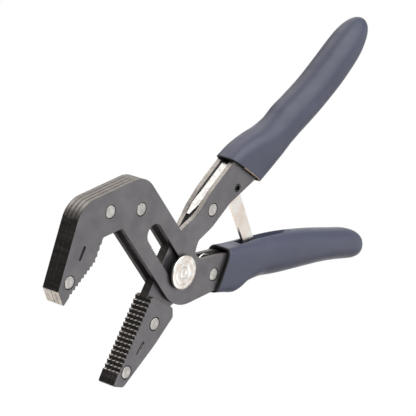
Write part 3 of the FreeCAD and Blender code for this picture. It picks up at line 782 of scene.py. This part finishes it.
upperGrip = {"name": "upper_grip", "body": "handled_jaw", "angle": 41.0,
             "sections": [(36.0, 8.4, 13.0, 6.8), (53.0, 7.7, 12.4, 7.1), (63.5, 7.0, 12.0, 7.5),
                          (73.5, 5.3, 10.8, 8.1), (82.0, 3.5, 9.5, 8.35), (89.5, 2.7, 9.2, 8.45),
                          (96.5, 2.5, 9.6, 8.45), (105.0, 1.5, 9.5, 8.45), (118.0, 0.5, 9.3, 8.45),
                          (131.0, 0.4, 9.4, 8.45), (141.0, 0.9, 9.3, 8.3), (149.0, 1.5, 8.9, 8.1),
                          (158.0, 2.3, 8.4, 7.7), (168.0, 2.7, 8.1, 7.4)],
             "mouthAt": 58.9, "mouthLean": -0.3556, "leanFade": 24.0, "endFrom": 146.0, "endAt": 166.2,
             "bluntness": 2.3, "wall": 1.3, "recess": 8.0, "squareMouth": 4.0, "beadBelow": 12.0}
gripMesh = {"around": 96, "spacing": 1.5, "endSteps": 12, "squareness": 2.15, "squareFade": 30.0,
            "lipSteps": 8, "lipDepth": 0.35, "beadTo": 0.7, "beadAbove": 2.0, "innerSteps": 4,
            "slots": ("grip", "mouthShade", "bead")}


def between(sections, along):
    # Middle, half height and half depth at a distance along the handle, on smooth curves.
    stations = [s[0] for s in sections]
    i = min(max(bisect.bisect_right(stations, along) - 1, 0), len(sections) - 2)
    before, a = sections[max(i - 1, 0)], sections[i]
    b, after = sections[i + 1], sections[min(i + 2, len(sections) - 1)]
    run = b[0] - a[0]
    t = (along - a[0]) / run
    values = []
    for k in (1, 2, 3):
        slopeA = (b[k] - before[k]) / (b[0] - before[0]) * run
        slopeB = (after[k] - a[k]) / (after[0] - a[0]) * run
        values.append((2 * t**3 - 3 * t**2 + 1) * a[k] + (t**3 - 2 * t**2 + t) * slopeA
                      + (3 * t**2 - 2 * t**3) * b[k] + (t**3 - t**2) * slopeB)
    return values


def rounded(angle, halfHeight, halfDepth, squareness):
    # A point of a round-cornered section.
    power = 2 / squareness
    c, s = math.cos(angle), math.sin(angle)
    return (math.copysign(abs(c) ** power, c) * halfHeight,
            math.copysign(abs(s) ** power, s) * halfDepth)


def gripRing(grip, along, inset=0.0, scale=1.0):
    # One ring of the skin; near the mouth it leans with the slanted opening.
    fade = (along - grip["mouthAt"]) / grip["leanFade"]
    fade = max(0.0, min(1.0, fade))
    lean = grip["mouthLean"] * (1 - fade * fade * (3 - 2 * fade))
    softening = min(1.0, max(0.0, (along - grip["mouthAt"]) / gripMesh["squareFade"]))
    square = grip["squareMouth"] + (gripMesh["squareness"] - grip["squareMouth"]) * softening
    ring = []
    for i in range(gripMesh["around"]):
        angle = 2 * math.pi * i / gripMesh["around"]
        middle, halfHeight, halfDepth = between(grip["sections"], along)
        x = along + lean * rounded(angle, halfHeight, halfDepth, square)[0]
        middle, halfHeight, halfDepth = between(grip["sections"], x)
        y, z = rounded(angle, (halfHeight - inset) * scale, (halfDepth - inset) * scale, square)
        ring.append((x, middle + y, z))
    return ring


def gripRings(grip):
    # Rings from the closed end to the mouth, round the lip and back inside, and each ring's material.
    outer, mouthShade, bead = range(len(gripMesh["slots"]))
    rings = []
    length = grip["endAt"] - grip["endFrom"]
    for i in range(1, gripMesh["endSteps"] + 1):
        u = math.cos(math.pi / 2 * i / (gripMesh["endSteps"] + 1))
        scale = (1 - u ** grip["bluntness"]) ** (1 / grip["bluntness"])
        rings.append(gripRing(grip, grip["endFrom"] + length * u, scale=scale))
    count = round((grip["endFrom"] - grip["mouthAt"]) / gripMesh["spacing"])
    for i in range(count + 1):
        rings.append(gripRing(grip, grip["endFrom"] + (grip["mouthAt"] - grip["endFrom"]) * i / count))
    layers = [outer] * len(rings)
    for i in range(1, gripMesh["lipSteps"] + 1):
        a = math.pi * i / gripMesh["lipSteps"]
        inset = grip["wall"] / 2 * (1 - math.cos(a))
        ring = gripRing(grip, grip["mouthAt"], inset)
        lip = grip["wall"] * gripMesh["lipDepth"] * math.sin(a)
        rings.append([(x - lip, y, z) for x, y, z in ring])
        layers.append(bead if i / gripMesh["lipSteps"] < gripMesh["beadTo"] else mouthShade)
    # the inner part of the lip and the inside of the mouth take the near-black finish, painted shade
    for i in range(1, gripMesh["innerSteps"] + 1):
        inside = grip["mouthAt"] + grip["recess"] * i / gripMesh["innerSteps"]
        rings.append(gripRing(grip, inside, grip["wall"]))
        layers.append(mouthShade)
    return rings, layers


def moulded(grip):
    # The whole sleeve as one closed skin.
    rings, layers = gripRings(grip)
    outer, mouthShade, bead = range(len(gripMesh["slots"]))
    turn = Matrix.Rotation(math.radians(grip["angle"]), 3, "Z")
    build = bmesh.new()
    around = gripMesh["around"]
    placed = [[build.verts.new(pivot + turn @ Vector(p) * mm) for p in ring] for ring in rings]
    for k in range(len(placed) - 1):
        for i in range(around):
            j = (i + 1) % around
            face = build.faces.new((placed[k][i], placed[k][j], placed[k + 1][j], placed[k + 1][i]))
            x, y, z = rings[k][i]
            beadless = grip["beadBelow"] is None or y >= grip["beadBelow"] or z <= gripMesh["beadAbove"]
            layer = layers[k + 1]
            face.material_index = mouthShade if layer == bead and beadless else layer
    # the inner end cap also takes the painted shade
    for ring, layer in ((placed[0], outer), (placed[-1], mouthShade)):
        middle = sum((v.co for v in ring), Vector()) / around
        centre = build.verts.new(middle)
        for i in range(around):
            face = build.faces.new((ring[i], ring[(i + 1) % around], centre))
            face.material_index = layer
    bmesh.ops.recalc_face_normals(build, faces=build.faces)
    mesh = bpy.data.meshes.new(grip["name"])
    build.to_mesh(mesh)
    build.free()
    for slot in gripMesh["slots"]:
        mesh.materials.append(finishes[slot])
    mesh.shade_smooth()
    return newObject(f"{grip['name']}_finished", mesh)


linkOpening = {"half": 2.4,
               # side view of what is cut away: deep at the link, running out towards the end
               "profile": [(44.5, 16.0), (44.5, -1.0), (46.5, -3.0), (61.0, -3.0), (84.0, 9.0),
                           (84.0, 16.0)]}


def cutLinkOpening(piece):
    # The link's slot through the top of the lower grip.
    build = bmesh.new()
    sides = []
    for z in (-linkOpening["half"], linkOpening["half"]):
        sides.append([build.verts.new(fromPivot(x, y, z)) for x, y in linkOpening["profile"]])
        build.faces.new(sides[-1])
    low, high = sides
    for i in range(len(low)):
        j = (i + 1) % len(low)
        build.faces.new((low[i], low[j], high[j], high[i]))
    bmesh.ops.recalc_face_normals(build, faces=build.faces)
    mesh = bpy.data.meshes.new("linkCutter")
    build.to_mesh(mesh)
    build.free()
    mesh.materials.append(finishes["grip"])
    cutter = newObject("linkCutter", mesh)
    cut = piece.modifiers.new("slot", "BOOLEAN")
    cut.operation = "DIFFERENCE"
    cut.solver = "EXACT"
    cut.material_mode = "TRANSFER"
    cut.object = cutter
    shadeSharp(plainMesh(piece), 40)
    bpy.data.objects.remove(cutter)


for grip in (lowerGrip, upperGrip):
    sleeve = moulded(grip)
    if grip is lowerGrip:
        cutLinkOpening(sleeve)
    stand(sleeve, grip["body"], "grip_vinyl", grip["name"])
print("grips are moulded")


for node in ("lower_handle_spacers", "upper_handle_spacers", "spring_anchor", "link_foot_pin"):
    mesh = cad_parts[node].data
    mesh.materials.clear()
    mesh.materials.append(finishes["dark"])
print("small parts are finished")
